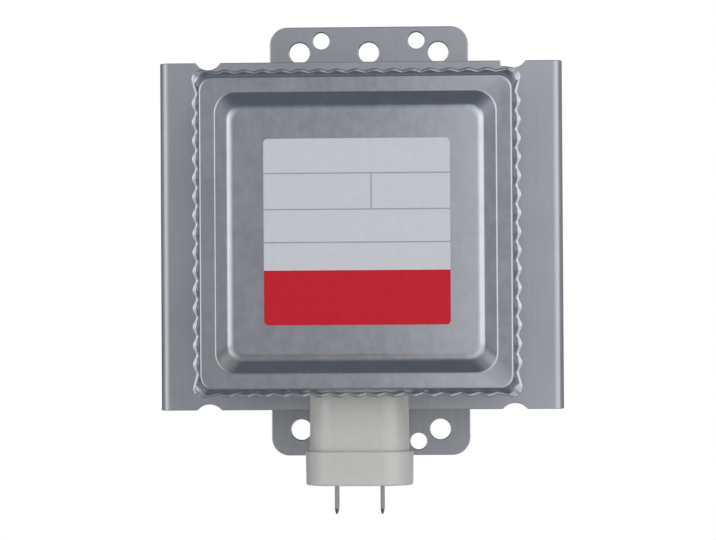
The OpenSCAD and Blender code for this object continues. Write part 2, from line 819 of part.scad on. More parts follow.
module strap_inner_antenna() { strap(strap_r, vane_lo_z); }
module strap_outer_antenna() { strap(strap_outer_r, vane_lo_z); }
module strap_inner_stem() { strap(strap_r, vane_hi_z - strap_h); }
module strap_outer_stem() { strap(strap_outer_r, vane_hi_z - strap_h); }

module pole_piece() {
    rotate_extrude() polygon([
        [pole_knee_r - pole_t / 2, 0], [pole_seat_r - fit, 0], [pole_seat_r - fit, pole_t],
        [pole_knee_r + pole_t / 2, pole_t], [pole_tip_r + pole_t / 2, pole_h],
        [pole_hole_r, pole_h], [pole_hole_r, pole_h - pole_t], [pole_tip_r - pole_t / 2, pole_h - pole_t]]);
}

module pole_piece_antenna() {
    hole_r = antenna_lead_r + 2 * clearance;
    slot_l = lead_foot_r - pole_tip_r;
    color("darkgray") translate([0, 0, anode_lo_z]) difference() {
        pole_piece();
        translate([lead_foot_r, 0, -pole_t]) cylinder(r = hole_r, h = pole_h + 2 * pole_t);
        translate([lead_foot_r - slot_l, -hole_r, -pole_t]) cube([slot_l, 2 * hole_r, pole_h]);
    }
}

module pole_piece_stem() {
    color("darkgray") translate([0, 0, anode_hi_z]) mirror([0, 0, 1]) pole_piece();
}

module ring_magnet(z) {
    r = magnet_d / 2;
    color("dimgray") translate([0, 0, z]) rotate_extrude() polygon([
        [magnet_bore / 2, 0], [r - magnet_edge, 0], [r, magnet_edge],
        [r, magnet_t - magnet_edge], [r - magnet_edge, magnet_t], [magnet_bore / 2, magnet_t]]);
}

module magnet_antenna() { ring_magnet(plate_t); }
module magnet_stem() { ring_magnet(web_in_z - magnet_t); }

// Antenna: seal, ceramic, lead, exhaust tube, cap and mesh gasket

module antenna_seal() {
    mouth_r = ceramic_r + fit;
    narrow_z = (ceramic_lo_z - seal_neck_l) / 2;
    color("lightgray") rotate_extrude() polygon([
        [seal_bore_r, anode_lo_z], [seal_flange_r, anode_lo_z], [seal_flange_r, anode_lo_z - seal_t],
        [seal_r, anode_lo_z - seal_t], [seal_r, -seal_neck_l], [mouth_r + seal_t, narrow_z],
        [mouth_r + seal_t, -seal_l], [mouth_r, -seal_l], [mouth_r, narrow_z], [seal_bore_r, -seal_neck_l]]);
}

module antenna_ceramic() {
    color("white") translate([0, 0, ceramic_hi_z]) linear_extrude(ceramic_l) difference() {
        circle(ceramic_r);
        circle(ceramic_r - ceramic_t);
    }
}

module antenna_lead() {
    bend_r = seal_bore_r - antenna_lead_d;
    color("chocolate") swept_wire([
        [lead_foot_r, 0, vane_lo_z - fit], [lead_foot_r, 0, anode_lo_z + pole_h / 2 + pole_t],
        [bend_r, 0, anode_lo_z - seal_t], [bend_r / 3, 0, anode_lo_z / 2], [0, 0, anode_lo_z / 4], [0, 0, 0],
        [0, 0, ceramic_hi_z], [0, 0, exhaust_end_z + exhaust_t]], antenna_lead_r, 12);
}

module exhaust_tube() {
    flange_r = cap_r - cap_t - fit;
    pinch_r = antenna_lead_r + fit;
    pinch_z = exhaust_end_z + exhaust_r;
    color("chocolate") rotate_extrude() polygon([
        [exhaust_bore_r, ceramic_hi_z], [flange_r, ceramic_hi_z], [flange_r, ceramic_hi_z - exhaust_t],
        [exhaust_r, ceramic_hi_z - exhaust_t], [exhaust_r, pinch_z], [pinch_r, exhaust_end_z],
        [0, exhaust_end_z], [0, exhaust_end_z + exhaust_t], [pinch_r, exhaust_end_z + exhaust_t],
        [exhaust_bore_r, pinch_z]]);
}

module antenna_cap() {
    flat_r = cap_r - cap_edge_r;
    color("silver") difference() {
        rotate_extrude() {
            translate([0, cap_edge_r - antenna_l]) square([cap_r, antenna_l - cap_edge_r + ceramic_hi_z]);
            translate([0, -antenna_l]) square([flat_r, cap_edge_r]);
            intersection() {
                translate([flat_r, cap_edge_r - antenna_l]) circle(cap_edge_r);
                translate([flat_r, -antenna_l]) square(cap_edge_r);
            }
        }
        translate([0, 0, cap_t - antenna_l]) cylinder(r = cap_r - cap_t, h = antenna_l);
    }
}

module mesh_gasket() {
    inner_r = seal_r + fit;
    ring_w = gasket_r - inner_r;
    color("darkkhaki") rotate_extrude() translate([inner_r + ring_w / 2, -gasket_t / 2]) {
        square([ring_w - 2 * gasket_edge_r, gasket_t], center = true);
        square([ring_w, gasket_t - 2 * gasket_edge_r], center = true);
        for (x = sides, y = sides)
            translate([x * (ring_w / 2 - gasket_edge_r), y * (gasket_t / 2 - gasket_edge_r)])
                circle(gasket_edge_r);
    }
}

// Cooling fins pressed on the anode, with lips against the yoke legs

module fin_outline() {
    x = fin_w / 2;
    y = fin_h / 2;
    polygon([[x, fin_corner - y], [x, y - fin_corner], [x - fin_corner, y], [fin_corner - x, y],
             [-x, y - fin_corner], [-x, fin_corner - y], [fin_corner - x, -y], [x - fin_corner, -y]]);
}

module cooling_fin(i) {
    color("whitesmoke") translate([0, 0, anode_lo_z + fin_margin + i * fin_pitch]) {
        linear_extrude(fin_t) difference() {
            fin_outline();
            circle(fin_bore_r);
        }
        linear_extrude(fin_collar) difference() {
            circle(fin_bore_r + fin_t);
            circle(fin_bore_r);
        }
        for (x = sides) translate([x * (fin_w - fin_t) / 2, 0, fin_lip / 2])
            cube([fin_t, fin_h - 2 * fin_corner, fin_lip], center = true);
    }
}

// Turns a node from the tube frame into the frame of the finished part

module placed() {
    rotate([90, 0, 0]) children();
}

placed() mounting_plate();
placed() yoke_frame();
placed() filter_box();
placed() filter_lid();
placed() blank_label();
placed() feedthrough_case();
placed() feedthrough_resin();
placed() capacitor_block();
placed() ground_plate();
placed() ground_rivets();
placed() inner_insulator();
placed() terminal(-terminal_x);  // terminal_left
placed() terminal(terminal_x);  // terminal_right
placed() choke_coil(-1);  // choke_coil_left
placed() choke_coil(1);  // choke_coil_right
placed() choke_core(-1);  // choke_core_left
placed() choke_core(1);  // choke_core_right
placed() stem_ceramic();
placed() stem_seal();
placed() center_lead();
placed() side_lead();
placed() filament();
placed() end_hat_antenna();
placed() end_hat_stem();
placed() pole_piece_antenna();
placed() pole_piece_stem();
placed() magnet_antenna();
placed() magnet_stem();
placed() anode_cylinder();
placed() strap_inner_antenna();
placed() strap_outer_antenna();
placed() strap_inner_stem();
placed() strap_outer_stem();
placed() antenna_seal();
placed() antenna_ceramic();
placed() antenna_lead();
placed() exhaust_tube();
placed() antenna_cap();
placed() mesh_gasket();
for (i = [0:vane_count - 1])
    placed() vane(i);
for (i = [0:fin_count - 1])
    placed() cooling_fin(i);
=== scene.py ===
"""Looks of a microwave-oven magnetron.

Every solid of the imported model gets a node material. The pressed lid, the moulded connector case, its tabs,
the label and the knitted gasket are modelled anew as finer meshes that stand for their solids.
Shapes are written in millimetres in the tube frame: u to the right, v up, and w along the tube axis from the
waveguide face of the mounting plate towards the filter lid.
"""
import math

import bmesh
import bpy
from mathutils import Matrix, Vector


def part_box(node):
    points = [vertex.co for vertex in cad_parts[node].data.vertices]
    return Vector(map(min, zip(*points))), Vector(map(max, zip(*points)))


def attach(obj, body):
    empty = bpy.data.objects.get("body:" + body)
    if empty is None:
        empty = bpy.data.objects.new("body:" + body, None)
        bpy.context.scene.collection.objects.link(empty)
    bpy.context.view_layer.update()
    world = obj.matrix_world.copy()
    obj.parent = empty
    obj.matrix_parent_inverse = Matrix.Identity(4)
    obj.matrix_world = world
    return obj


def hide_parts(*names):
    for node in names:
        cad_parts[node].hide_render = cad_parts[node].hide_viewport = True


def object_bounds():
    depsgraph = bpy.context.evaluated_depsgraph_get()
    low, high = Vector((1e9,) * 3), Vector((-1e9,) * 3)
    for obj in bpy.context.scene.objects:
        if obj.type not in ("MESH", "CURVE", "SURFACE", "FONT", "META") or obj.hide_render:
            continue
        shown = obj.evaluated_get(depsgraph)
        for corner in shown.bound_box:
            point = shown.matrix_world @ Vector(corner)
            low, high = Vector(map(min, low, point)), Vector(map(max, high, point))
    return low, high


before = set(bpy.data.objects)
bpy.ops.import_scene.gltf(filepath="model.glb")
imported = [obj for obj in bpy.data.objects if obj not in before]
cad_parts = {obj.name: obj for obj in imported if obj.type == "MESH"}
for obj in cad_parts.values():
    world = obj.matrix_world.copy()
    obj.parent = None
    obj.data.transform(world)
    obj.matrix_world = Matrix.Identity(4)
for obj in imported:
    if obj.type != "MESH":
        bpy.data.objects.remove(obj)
cad_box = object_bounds()

MM = 0.001
SMOOTH_ANGLE = math.radians(38)

# Camera, fitted to the photograph
CAMERA_PLACE = (31.16, -828.96, -19.03)
CAMERA_YAW = math.radians(2.367)
CAMERA_PITCH = math.radians(0.809)
CAMERA_ROLL = math.radians(-0.344)
CAMERA_LENS = 165.19
CAMERA_SENSOR = 36.0

# Filter lid
LID_SHEET = 0.5
LID_CORNER = 3.15
LID_EDGE = 0.6
LID_SKIRT = 2.6
PLATFORM_LEAN = 0.26
PANEL_HEIGHT = 3.0
PANEL_FOOT_HALF = 31.9
PANEL_TOP_HALF = 28.5
PANEL_FOOT_CORNER = 4.6
PANEL_TOP_CORNER = 3.4
PANEL_CORNER_SWEEP = 0.7
PANEL_FOOT_EDGE = 0.6
PANEL_TOP_EDGE = 3.0
HEM_FLARE = 1.85
HEM_WAVES = (0.8, 0.5, 0.8, 0.6)  # right, top, left, bottom
HEM_PITCH = 4.2
SCALLOP_BULGE = 0.5
HEM_PLAIN = 0.6
HEM_CORNER = 2.4
HEM_SLIT = 0.7
HEM_SLIT_LENGTH = 1.1
HEM_CURVE = 2.0
HEM_STEPS = 8
LIP_WIDTH = 0.6
LIP_HEIGHT = 0.5
LIP_R = 1.0
LIP_EDGE = 0.08
LIP_STEPS = 4
WAVE_STEPS = 10
CORNER_STEPS = 12

# Label fields, measured from its upper left corner
LABEL_CORNER = 1.0
RULE_DROPS = (7.85, 16.0, 23.45)
RULE_WIDTH = 0.3
DIVIDER_OFFSET = 24.3
RED_DROP = 29.75
LABEL_EDGE = 0.03
LABEL_RELIEF = 0.003
LABEL_ROUGHNESS = (0.42, 0.52)
PAPER_COLOURS = ((191, 192, 196), (195, 196, 200))
RED_COLOURS = ((183, 27, 41), (190, 31, 46))
RULE_COLOUR = (150, 150, 156)

# Connector
TERMINAL_X = 5.25
FEED_AXIS = 72.0
NECK_R = 6.2
CAVITY_R = 5.2
HEAD_LENGTH = 7.9
CASE_DRAFT = 0.12
NECK_FILLET = 0.35
HEAD_TOP_EDGE = 0.45
HEAD_END_EDGE = 0.5
CAVITY_EDGE = 0.35
TAB_HALF_WIDTH = 3.175
TAB_HALF_THICKNESS = 0.4
TAB_POINT = 1.27
TAB_TIP = 0.15
TAB_THINNING = (0.82, 0.55, 0.4)
TAB_CORNER_SHARE = 0.3
TAB_CORNER_STEPS = 3
TAB_HOLE_R = 0.9
TAB_HOLE_REACH = 2
CONDUCTOR_R = 1.1
CONDUCTOR_CHAMFER = 0.3

# Gasket
GASKET_INNER_R = 9.65
GASKET_EDGE = 1.7
GASKET_WIRE_R = 0.13
GASKET_WIRES = 64
GASKET_WIRE_SIDES = 4
GASKET_WIRE_LIFT = 0.8
GASKET_LEAD = 5
GASKET_TURNS = 96
GASKET_CORNER_STEPS = 8

# Cut edges of the solids that show
EDGE_WIDTHS = {"yoke_frame": 0.2, "mounting_plate": 0.25, "filter_box": 0.25, "ground_rivets": 0.1,
               "antenna_seal": 0.1, "antenna_ceramic": 0.25, "anode_cylinder": 0.2}
FIN_COUNT = 6
FIN_EDGE = 0.1
EDGE_SEGMENTS = 2
EDGE_ANGLE = math.radians(40)
FLAT_ANGLE = math.radians(1)
WELD_DISTANCE = 1e-6

# Noise of the materials
CLOUD_SHARE = 0.65
GRAIN_SHARE = 0.5
GRAIN_RATIO = 12
NOISE_STOPS = (0.3, 0.7)
GRAIN_STOPS = (0.35, 0.65)

# Stage
FLOOR_DROP = 28.0
FLOOR_HALF = 6.0
FLOOR_COLOUR = (0.86, 0.86, 0.86, 1)
WHITE = (1, 1, 1, 1)
SHADOW_NEAR = 0.14
SHADOW_FAR = 0.24
ROOM_LEVEL = 0.41
GLOW_LEVEL = 1.15
DARK_LEVELS = (0.1, 0.3)
BACK_LEVEL = 0.4
SKY_LEVEL = 0.25

# Parts of the studio over which its levels fade, along the axes of the ray
DARK_ACROSS = (-0.3, 0.3)
DARK_DEPTH = (0.3, 0.6)
BACK_DEPTH = (0.75, 0.95)
SKY_HEIGHT = (0.45, 0.75)
SKY_DEPTH = (0.1, 0.4)
GLOW_ACROSS = (0.1, 0.9)
GLOW_HEIGHT = (0.4, 0.85)
GLOW_DEPTH = (-0.5, -0.25)
ROOM_TINTS = (
    (0.02, (0.33, 0.37, 0.42, 1)),
    (0.09, (0.76, 0.76, 0.76, 1)),
    (0.3, (0.7, 0.7, 0.69, 1)),
    (0.43, (0.58, 0.575, 0.56, 1)),
    (0.49, (0.9, 0.91, 0.925, 1)),
    (0.6, (0.96, 0.98, 1.0, 1)),
    (0.7, (0.8, 0.83, 0.87, 1)),
    (0.95, (0.34, 0.38, 0.44, 1)))

# Name, azimuth, elevation, distance, size, power, and whether it shows in reflections
LAMPS = (
    ("fill", 24, 38, 1.4, (0.9, 0.9), 4.5, False),
    ("overhead", 0, 89, 1.3, (1.4, 1.4), 14.0, False),
    ("side_panel", 18.3, 0, 0.48, (0.3, 1.0), 0.36, True))


def row(u, v, w):
    """A point of the tube frame, in millimetres, as a point of the row frame."""
    return Vector((u, -w, v)) * MM


def extent(node):
    """Lowest and highest corner of a solid in the tube frame, in millimetres."""
    low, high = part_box(node)
    return Vector((low.x, low.z, -high.y)) / MM, Vector((high.x, high.z, -low.y)) / MM


def linear(red, green, blue):
    """An 8-bit display colour as linear RGBA."""
    def channel(value):
        share = value / 255
        return share / 12.92 if share <= 0.04045 else ((share + 0.055) / 1.055) ** 2.4
    return channel(red), channel(green), channel(blue), 1.0


def smoothstep(low, high, value):
    share = min(1.0, max(0.0, (value - low) / (high - low)))
    return share * share * (3 - 2 * share)


# Node materials

def add_node(tree, kind, inputs=None, **settings):
    """Adds a node. An input given as a socket is linked, and any other value is set."""
    made = tree.nodes.new(kind)
    for name, value in settings.items():
        setattr(made, name, value)
    for name, value in (inputs or {}).items():
        if isinstance(value, bpy.types.NodeSocket):
            tree.links.new(value, made.inputs[name])
        else:
            made.inputs[name].default_value = value
    return made


def new_material(name, **values):
    """A material with a Principled shader, its sockets set to the given constants."""
    material = bpy.data.materials.new(name)
    material.use_nodes = True
    shader = material.node_tree.nodes["Principled BSDF"]
    for socket, value in values.items():
        shader.inputs[socket.replace("_", " ")].default_value = value
    return material, material.node_tree, shader


def object_place(tree, stretch=(1, 1, 1)):
    """Object coordinates, stretched along the axes of the row frame."""
    coordinates = add_node(tree, "ShaderNodeTexCoord").outputs["Object"]
    return add_node(tree, "ShaderNodeMapping", {"Vector": coordinates, "Scale": stretch}).outputs["Vector"]


def noise(tree, place, scale, detail=3.0, roughness=0.55):
    made = add_node(tree, "ShaderNodeTexNoise", {"Vector": place, "Scale": scale, "Detail": detail,
                                                 "Roughness": roughness})
    return made.outputs["Fac"]


def ramp(tree, factor, stops):
    """A colour ramp over (position, colour) stops."""
    made = add_node(tree, "ShaderNodeValToRGB", {"Fac": factor})
    elements = made.color_ramp.elements
    while len(elements) < len(stops):
        elements.new(0.5)
    for element, (position, colour) in zip(elements, stops):
        element.position = position
        element.color = colour
    return made.outputs["Color"]


def spread(tree, factor, low, high, start=0.3, stop=0.7):
    """A noise value mapped to a range of numbers."""
    made = add_node(tree, "ShaderNodeMapRange", {"Value": factor, "From Min": start, "From Max": stop,
                                                 "To Min": low, "To Max": high})
    return made.outputs["Result"]


def math_node(tree, operation, first, second, third=None):
    inputs = {0: first, 1: second}
    if third is not None:
        inputs[2] = third
    return add_node(tree, "ShaderNodeMath", inputs, operation=operation).outputs["Value"]


def mix_colour(tree, factor, first, second):
    made = add_node(tree, "ShaderNodeMix", data_type="RGBA")
    for index, value in ((0, factor), (6, first), (7, second)):
        if isinstance(value, bpy.types.NodeSocket):
            tree.links.new(value, made.inputs[index])
        else:
            made.inputs[index].default_value = value
    return made.outputs[2]


def bump(tree, shader, height, distance, strength=1.0):
    made = add_node(tree, "ShaderNodeBump", {"Height": height, "Distance": distance, "Strength": strength})
    tree.links.new(made.outputs["Normal"], shader.inputs["Normal"])


def blend(tree, first, second, share):
    """A weighted sum of two values."""
    return math_node(tree, "ADD", math_node(tree, "MULTIPLY", first, share),
                     math_node(tree, "MULTIPLY", second, 1 - share))


def tones(tree, factor, positions, colours):
    """A colour ramp from a darker to a lighter colour."""
    return ramp(tree, factor, tuple(zip(positions, colours)))


def cloudy_metal(name, dark, light, roughness, grain, cloud_scale=60.0, relief=0.004, metallic=1.0):
    """Sheet or turned metal: clouded colour, a rolled grain along one axis and uneven gloss."""
    material, tree, shader = new_material(name, Metallic=metallic)
    clouds = noise(tree, object_place(tree), cloud_scale, 5.0, 0.6)
    rolled = noise(tree, object_place(tree, grain), 1.0, 3.0, 0.6)
    tone = blend(tree, clouds, rolled, CLOUD_SHARE)
    tree.links.new(tones(tree, tone, NOISE_STOPS, (dark, light)), shader.inputs["Base Color"])
    tree.links.new(spread(tree, tone, *roughness), shader.inputs["Roughness"])
    bump(tree, shader, rolled, relief * MM)
    return material


def speckled(name, dark, light, roughness, scale, metallic=0.0, relief=0.02, **values):
    """A cast, moulded, fired or coated surface with a fine grain."""
    material, tree, shader = new_material(name, Metallic=metallic, **values)
    place = object_place(tree)
    fine = noise(tree, place, scale, 6.0, 0.65)
    broad = noise(tree, place, scale / GRAIN_RATIO, 2.0)
    tone = blend(tree, fine, broad, GRAIN_SHARE)
    tree.links.new(tones(tree, tone, GRAIN_STOPS, (dark, light)), shader.inputs["Base Color"])
    tree.links.new(spread(tree, broad, *roughness), shader.inputs["Roughness"])
    bump(tree, shader, fine, relief * MM)
    return material


def label_film():
    """Coated label paper: a pale field with thin rules and a divider, and a red field below."""
    low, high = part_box("blank_label")
    material, tree, shader = new_material("label_film", Specular_IOR_Level=0.15)
    place = object_place(tree)
    axes = add_node(tree, "ShaderNodeSeparateXYZ", {"Vector": place})
    across, height = axes.outputs["X"], axes.outputs["Z"]
    half_rule = RULE_WIDTH / 2 * MM
    lines = None
    for drop in RULE_DROPS:
        line = math_node(tree, "COMPARE", height, high.z - drop * MM, half_rule)
        lines = line if lines is None else math_node(tree, "MAXIMUM", lines, line)
    divider = math_node(tree, "COMPARE", across, low.x + DIVIDER_OFFSET * MM, half_rule)
    field_middle = high.z - (RULE_DROPS[0] + RULE_DROPS[1]) / 2 * MM
    field_half = (RULE_DROPS[1] - RULE_DROPS[0]) / 2 * MM
    beside = math_node(tree, "COMPARE", height, field_middle, field_half)
    lines = math_node(tree, "MAXIMUM", lines, math_node(tree, "MULTIPLY", divider, beside))
    fibre = noise(tree, place, 900.0, 4.0)
    paper = tones(tree, fibre, NOISE_STOPS, [linear(*colour) for colour in PAPER_COLOURS])
    red = tones(tree, fibre, NOISE_STOPS, [linear(*colour) for colour in RED_COLOURS])
    ruled = mix_colour(tree, lines, paper, linear(*RULE_COLOUR))
    below = math_node(tree, "LESS_THAN", height, high.z - RED_DROP * MM)
    tree.links.new(mix_colour(tree, below, ruled, red), shader.inputs["Base Color"])
    tree.links.new(spread(tree, fibre, *LABEL_ROUGHNESS), shader.inputs["Roughness"])
    bump(tree, shader, fibre, LABEL_RELIEF * MM)
    return material


def make_materials():
    """One node material for each material slot of the imported model."""
    upright = (1500, 1500, 30)
    sideways = (45, 2600, 2600)
    return {
        "plated_steel": cloudy_metal("plated_steel", (0.48, 0.5, 0.54, 1), (0.58, 0.6, 0.645, 1),
                                     (0.31, 0.39), upright, relief=0.0005, metallic=0.95),
        "tinned_sheet": cloudy_metal("tinned_sheet", (0.51, 0.525, 0.575, 1), (0.61, 0.63, 0.685, 1),
                                     (0.16, 0.24), (700, 700, 350), 260.0),
        "label_film": label_film(),
        "case_plastic": speckled("case_plastic", linear(190, 189, 184), linear(196, 195, 190), (0.27, 0.3),
                                 700.0, relief=0.0002, Specular_IOR_Level=1.0),
        "sealing_resin": speckled("sealing_resin", linear(150, 128, 92), linear(172, 150, 112),
                                  (0.25, 0.4), 500.0),
        "capacitor_ceramic": speckled("capacitor_ceramic", linear(150, 118, 84), linear(170, 138, 100),
                                      (0.5, 0.65), 900.0),
        "tinned_terminal": cloudy_metal("tinned_terminal", (0.46, 0.45, 0.43, 1), (0.6, 0.59, 0.57, 1),
                                        (0.3, 0.42), (2500, 2500, 120), 300.0),
        "ferrite": speckled("ferrite", (0.028, 0.029, 0.031, 1), (0.055, 0.057, 0.06, 1),
                            (0.55, 0.75), 1400.0),
        "choke_wire": speckled("choke_wire", (0.45, 0.17, 0.06, 1), (0.62, 0.26, 0.1, 1), (0.2, 0.32), 700.0,
                               metallic=1.0, Coat_Weight=0.5),
        "copper": cloudy_metal("copper", (0.62, 0.27, 0.16, 1), (0.8, 0.42, 0.28, 1), (0.28, 0.42),
                               (400, 2600, 400), 120.0),
        "fin_aluminium": cloudy_metal("fin_aluminium", (0.74, 0.75, 0.76, 1), (0.86, 0.865, 0.87, 1),
                                      (0.24, 0.38), sideways, 90.0),
        "alumina": speckled("alumina", linear(226, 218, 212), linear(236, 229, 224), (0.35, 0.5), 1100.0),
        "seal_steel": cloudy_metal("seal_steel", (0.56, 0.555, 0.545, 1), (0.68, 0.675, 0.66, 1),
                                   (0.22, 0.34), (900, 90, 900), 200.0),
        "cathode_metal": speckled("cathode_metal", (0.16, 0.165, 0.17, 1), (0.26, 0.265, 0.27, 1),
                                  (0.4, 0.55), 1500.0, metallic=1.0),
        "gasket_mesh": speckled("gasket_mesh", (0.42, 0.36, 0.26, 1), (0.62, 0.55, 0.42, 1),
                                (0.3, 0.45), 1600.0, metallic=1.0),
    }


materials = make_materials()


# Mesh helpers

def loft(bm, rings, closed=False):
    """Skins a list of rings, which have the same number of points, and caps its two ends unless it closes."""
    loops = [[bm.verts.new(row(*point)) for point in ring] for ring in rings]
    count = len(loops[0])
    pairs = list(zip(loops, loops[1:]))
    if closed:
        pairs.append((loops[-1], loops[0]))
    else:
        bm.faces.new(reversed(loops[0]))
        bm.faces.new(loops[-1])
    for first, second in pairs:
        for i in range(count):
            j = (i + 1) % count
            bm.faces.new((first[i], first[j], second[j], second[i]))


def new_object(name, bm):
    """Turns a bmesh into an object with outward faces."""
    bmesh.ops.recalc_face_normals(bm, faces=bm.faces)
    mesh = bpy.data.meshes.new(name)
    bm.to_mesh(mesh)
    bm.free()
    made = bpy.data.objects.new(name, mesh)
    bpy.context.scene.collection.objects.link(made)
    return made


def cut(piece, cutter):
    """Cuts one object out of another for good."""
    modifier = piece.modifiers.new("cut", "BOOLEAN")
    modifier.operation = "DIFFERENCE"
    modifier.solver = "EXACT"
    modifier.object = cutter
    graph = bpy.context.evaluated_depsgraph_get()
    mesh = bpy.data.meshes.new_from_object(piece.evaluated_get(graph))
    piece.modifiers.remove(modifier)
    old_mesh = piece.data
    piece.data = mesh
    bpy.data.meshes.remove(old_mesh)
    bpy.data.objects.remove(cutter)


def dress(piece, slot, *nodes):
    """Gives a new piece its finish and smooth shading, and lets it stand for its solids."""
    piece.data.materials.clear()
    piece.data.materials.append(materials[slot])
    piece.data.shade_smooth()
    piece.data.set_sharp_from_angle(angle=SMOOTH_ANGLE)
    shading = piece.modifiers.new("shading", "WEIGHTED_NORMAL")
    shading.keep_sharp = True
    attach(piece, "root")
    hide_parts(*nodes)
    return piece


def rounded_profile(corners, steps=6):
    """A polyline of (x, y, radius) corners with each corner turned into an arc of that radius."""
    points = []
    for index, (x, y, radius) in enumerate(corners):
        here = Vector((x, y))
        if radius == 0:
            points.append(here)
            continue
        before = (Vector(corners[index - 1][:2]) - here).normalized()
        after = (Vector(corners[(index + 1) % len(corners)][:2]) - here).normalized()
        half_angle = before.angle(after) / 2
        reach = radius / math.tan(half_angle)
        centre = here + (before + after).normalized() * radius / math.sin(half_angle)
        start = here + before * reach - centre
        sweep = start.angle_signed(here + after * reach - centre)
        for step in range(steps + 1):
            points.append(centre + Matrix.Rotation(-sweep * step / steps, 2) @ start)
    return points


def square_ring(half, corner, w, middle=(0.0, 0.0)):
    """A rounded square at one station of the tube axis."""
    ring = []
    for quarter in range(4):
        diagonal = math.pi / 2 * quarter + math.pi / 4
        centre_u = math.copysign(half - corner, math.cos(diagonal)) + middle[0]
        centre_v = math.copysign(half - corner, math.sin(diagonal)) + middle[1]
        for step in range(CORNER_STEPS + 1):
            angle = math.pi / 2 * (quarter + step / CORNER_STEPS)
            ring.append((centre_u + corner * math.cos(angle), centre_v + corner * math.sin(angle), w))
    return ring


def stadium_ring(radius, v, steps=20):
    """The outline of the connector at one height: two round ends on the terminal axes."""
    ring = []
    for side, start in ((1, -math.pi / 2), (-1, math.pi / 2)):
        for step in range(steps + 1):
            angle = start + math.pi * step / steps
            ring.append((side * TERMINAL_X + radius * math.cos(angle), v,
                         FEED_AXIS + radius * math.sin(angle)))
    return ring


def disc_ring(u, v, w, radius, axis, steps=32):
    """A circle about an axis of the tube frame, named u, v or w."""
    ring = []
    for step in range(steps):
        angle = 2 * math.pi * step / steps
        first, second = radius * math.cos(angle), radius * math.sin(angle)
        offset = {"u": (0, first, second), "v": (second, 0, first), "w": (first, second, 0)}[axis]
        ring.append((u + offset[0], v + offset[1], w + offset[2]))
    return ring


# Filter lid

def scallop(share):
    """Depth of a hem scallop along its length, from 0 at its crest to 1 at its ends."""
    bulge = 1 - math.sin(math.pi * share)
    wave = (1 + math.cos(2 * math.pi * share)) / 2
    return SCALLOP_BULGE * bulge + (1 - SCALLOP_BULGE) * wave


def scalloped_ring(half, corner, w, run, share=0.0, lean=0.0):
    """A rounded square with a share of the hem's scallops over a run, which may rise towards the right."""
    steps = round(run / HEM_PITCH) * WAVE_STEPS
    reach = min(run / 2, half - corner - HEM_PLAIN)
    ring = []
    for quarter in range(4):
        turn = Matrix.Rotation(math.pi / 2 * quarter, 2)
        depth = share * HEM_WAVES[quarter]
        side = [Vector((half - depth * scallop(step % WAVE_STEPS / WAVE_STEPS),
                        reach * (2 * step / steps - 1)))
                for step in range(steps + 1)]
        arc = [Vector((half - corner + corner * math.cos(angle), half - corner + corner * math.sin(angle)))
               for angle in (math.pi / 2 * step / CORNER_STEPS for step in range(CORNER_STEPS + 1))]
        for point in side + arc:
            u, v = turn @ point
            ring.append((u, v, w + lean * ((u / half + 1) / 2) ** 2))
    return ring


def lid_corner(half, lid_half):
    """Corner radius of the lid's outline at a distance from the axis."""
    if half >= PANEL_FOOT_HALF:
        share = smoothstep(PANEL_FOOT_HALF, lid_half, half)
        return PANEL_FOOT_CORNER + (LID_CORNER - PANEL_FOOT_CORNER) * share
    swept = PANEL_TOP_CORNER + PANEL_CORNER_SWEEP * (half - PANEL_TOP_HALF)
    return min(PANEL_FOOT_CORNER, max(swept, PANEL_TOP_CORNER / 2))


def lid_surface(inset, lid_half, run, hem_low, panel):
    """Rings of one face of the lid's sheet, from the end of its hem up to its raised panel."""
    platform = panel - PANEL_HEIGHT
    skirt_low = platform - LID_SKIRT
    slope = math.atan2(PANEL_HEIGHT, PANEL_FOOT_HALF - PANEL_TOP_HALF)
    half = lid_half - inset
    rings = []
    for step in range(HEM_STEPS, -1, -1):
        share = step / HEM_STEPS
        flare = (HEM_FLARE - LIP_WIDTH) * share ** HEM_CURVE
        corner = LID_CORNER + (HEM_CORNER - LID_CORNER) * share
        w = skirt_low + (hem_low - skirt_low) * share
        rings.append(scalloped_ring(half + flare, corner - inset, w, run, share))
    profile = rounded_profile((
        (half, skirt_low, 0),
        (half, platform - inset, LID_EDGE - inset),
        (PANEL_FOOT_HALF - inset * math.tan(slope / 2), platform - inset, PANEL_FOOT_EDGE + inset),
        (PANEL_TOP_HALF - inset * math.tan(slope / 2), panel - inset, PANEL_TOP_EDGE - inset),
        (PANEL_TOP_HALF - 2 * PANEL_HEIGHT, panel - inset, 0)))
    for x, w in profile[1:]:
        lean = PLATFORM_LEAN * smoothstep(PANEL_FOOT_HALF, lid_half, x)
        rings.append(scalloped_ring(x, lid_corner(x, lid_half), w, run, lean=lean))
    return rings


def hem_lip(lip_half, run, low):
    """Rings round the lip of the hem, which is turned outwards and rounded, from its underside to its top."""
    side_high = low + LIP_HEIGHT - LIP_R * (1 - math.cos(math.asin(LIP_WIDTH / LIP_R)))
    profile = [(lip_half - LIP_EDGE, low), (lip_half, low + LIP_EDGE), (lip_half, side_high)]
    for step in range(1, LIP_STEPS):
        out = LIP_WIDTH * (1 - step / LIP_STEPS)
        profile.append((lip_half - LIP_WIDTH + out,
                        low + LIP_HEIGHT - LIP_R + math.sqrt(LIP_R ** 2 - out ** 2)))
    return [scalloped_ring(half, HEM_CORNER, w, run, 1.0) for half, w in profile]


